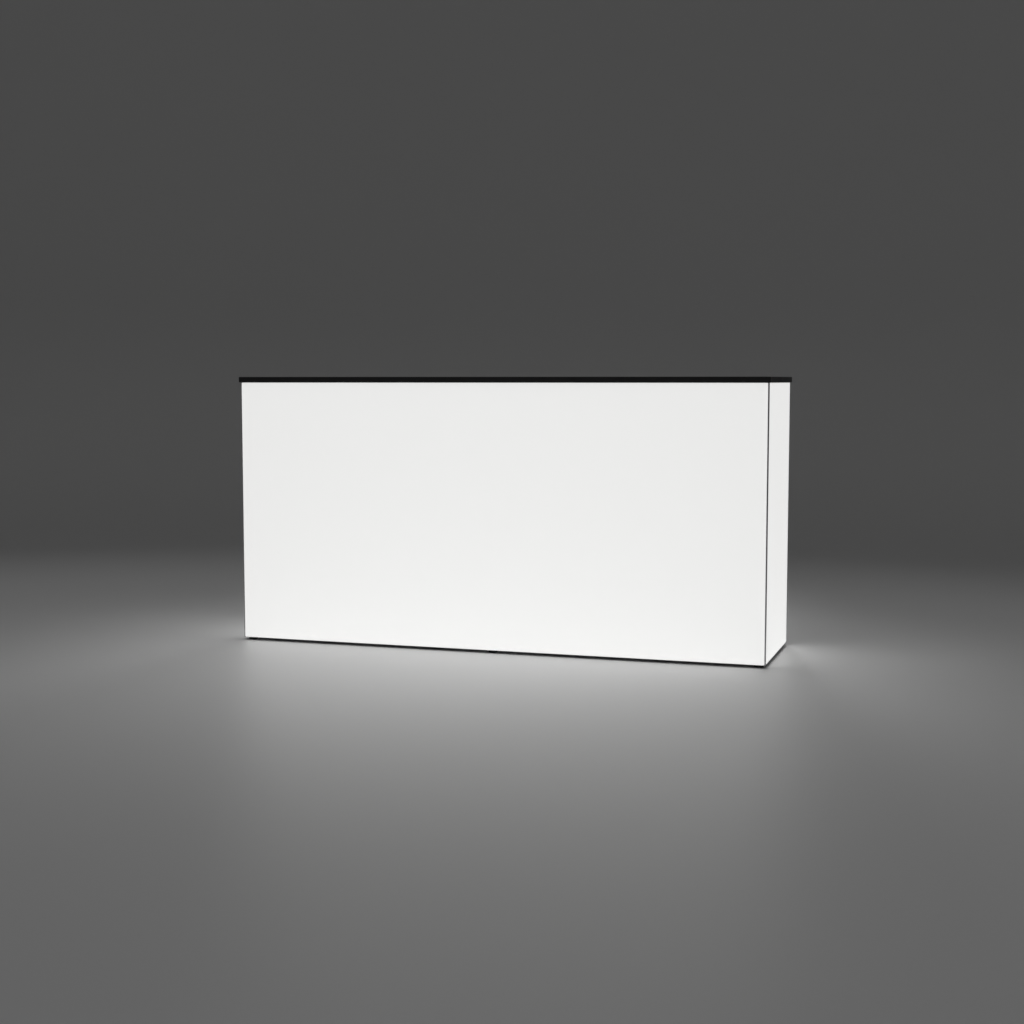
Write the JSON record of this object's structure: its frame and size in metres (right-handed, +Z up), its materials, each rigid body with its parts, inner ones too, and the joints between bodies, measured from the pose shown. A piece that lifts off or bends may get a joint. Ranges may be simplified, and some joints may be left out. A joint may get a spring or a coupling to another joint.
{
  "type": "illuminated counter",
  "caption": "Free-standing backlit counter: aluminium frame with glowing white textile front and ends, black worktop, and lockable storage doors at the back.",
  "frame": {"origin": "on the floor under the middle of the worktop", "axes": "+X along the counter to the right as seen from the public side, +Y from the public front to the doors at the back, +Z up"},
  "size_m": [2, 0.53, 1],
  "materials": {
    "frame_aluminium": "satin natural anodised extrusion",
    "connector_aluminium": "raw cast",
    "zinc_steel": "zinc plated",
    "hinge_steel": "nickel plated, satin",
    "foot_plastic": "black moulded",
    "lit_fabric": "white backlit knitted textile",
    "keder_silicone": "white silicone",
    "black_laminate": "black fine-grained laminate on board",
    "white_sheet": "white composite sheet",
    "white_board": "white melamine-faced board",
    "knob_plastic": "black moulded",
    "lock_nickel": "nickel plated",
    "circuit_board": "white solder mask",
    "clear_lens": "clear moulded",
    "supply_case": "anodised finned case",
    "cable_sheath": "black sheath",
    "inlet_plastic": "black moulded",
    "contact_brass": "plated brass",
    "switch_plastic": "black moulded"
  },
  "bodies": {
    "counter": {"angle_brackets": "zinc_steel", "angle_strips": "frame_aluminium", "board_screws": "zinc_steel", "connector_bolts": "zinc_steel", "corner_post_front_left": "frame_aluminium", "corner_post_front_right": "frame_aluminium", "corner_post_rear_left": "frame_aluminium", "corner_post_rear_right": "frame_aluminium", "divider_left": "white_board", "divider_right": "white_board", "floor_board": "white_board", "foot_inserts": "zinc_steel", "front_bottom_rail": "frame_aluminium", "front_fabric": "lit_fabric", "front_liner": "white_sheet", "front_top_rail": "frame_aluminium", "hinge_frame_leaves": "hinge_steel", "hinge_pins": "hinge_steel", "inlet_contacts": "contact_brass", "internal_wiring": "cable_sheath", "keder_strips": "keder_silicone", "led_boards": "circuit_board", "led_carriers": "frame_aluminium", "led_lenses": "clear_lens", "left_bottom_rail": "frame_aluminium", "left_fabric": "lit_fabric", "left_liner": "white_sheet", "left_top_rail": "frame_aluminium", "mains_inlet": "inlet_plastic", "mullion_left": "frame_aluminium", "mullion_right": "frame_aluminium", "power_supplies": "supply_case", "rail_connectors": "connector_aluminium", "rear_bottom_rail": "frame_aluminium", "rear_panel": "white_sheet", "rear_top_rail": "frame_aluminium", "right_bottom_rail": "frame_aluminium", "right_fabric": "lit_fabric", "right_liner": "white_sheet", "right_top_rail": "frame_aluminium", "shelf_left": "white_board", "shelf_right": "white_board", "worktop": "black_laminate"},
    "door_left": {"door_left": "white_board", "door_left_hinge_leaves": "hinge_steel", "door_left_knob": "knob_plastic", "door_left_lock_barrel": "lock_nickel"},
    "lock_left": {"door_left_lock_core": "lock_nickel"},
    "door_right": {"door_right": "white_board", "door_right_hinge_leaves": "hinge_steel", "door_right_knob": "knob_plastic", "door_right_lock_barrel": "lock_nickel"},
    "lock_right": {"door_right_lock_core": "lock_nickel"},
    "foot_front_left": {"levelling_foot_front_left": "foot_plastic"},
    "foot_front_middle": {"levelling_foot_front_middle": "foot_plastic"},
    "foot_front_right": {"levelling_foot_front_right": "foot_plastic"},
    "foot_rear_left": {"levelling_foot_rear_left": "foot_plastic"},
    "foot_rear_middle": {"levelling_foot_rear_middle": "foot_plastic"},
    "foot_rear_right": {"levelling_foot_rear_right": "foot_plastic"},
    "switch": {"mains_switch": "switch_plastic"}
  },
  "joints": [
    {"name": "door_left_hinge", "type": "hinge", "parent": "counter", "child": "door_left", "pos_m": [-0.954, 0.252, 0.495], "axis": [0, 0, 1], "range_deg": [0, 110]},
    {"name": "lock_left_turn", "type": "hinge", "parent": "door_left", "child": "lock_left", "pos_m": [-0.372, 0.248, 0.74], "axis": [0, -1, 0], "range_deg": [0, 90]},
    {"name": "door_right_hinge", "type": "hinge", "parent": "counter", "child": "door_right", "pos_m": [0.954, 0.252, 0.495], "axis": [0, 0, -1], "range_deg": [0, 110]},
    {"name": "lock_right_turn", "type": "hinge", "parent": "door_right", "child": "lock_right", "pos_m": [0.372, 0.248, 0.74], "axis": [0, 1, 0], "range_deg": [0, 90]},
    {"name": "foot_front_left_height", "type": "slide", "parent": "counter", "child": "foot_front_left", "axis": [0, 0, -1], "range_m": [0, 0.012]},
    {"name": "foot_front_middle_height", "type": "slide", "parent": "counter", "child": "foot_front_middle", "axis": [0, 0, -1], "range_m": [0, 0.012]},
    {"name": "foot_front_right_height", "type": "slide", "parent": "counter", "child": "foot_front_right", "axis": [0, 0, -1], "range_m": [0, 0.012]},
    {"name": "foot_rear_left_height", "type": "slide", "parent": "counter", "child": "foot_rear_left", "axis": [0, 0, -1], "range_m": [0, 0.012]},
    {"name": "foot_rear_middle_height", "type": "slide", "parent": "counter", "child": "foot_rear_middle", "axis": [0, 0, -1], "range_m": [0, 0.012]},
    {"name": "foot_rear_right_height", "type": "slide", "parent": "counter", "child": "foot_rear_right", "axis": [0, 0, -1], "range_m": [0, 0.012]},
    {"name": "switch_rock", "type": "hinge", "parent": "counter", "child": "switch", "pos_m": [-0.039, 0.2485, 0.11], "axis": [-1, 0, 0], "range_deg": [0, 16]}
  ]
}
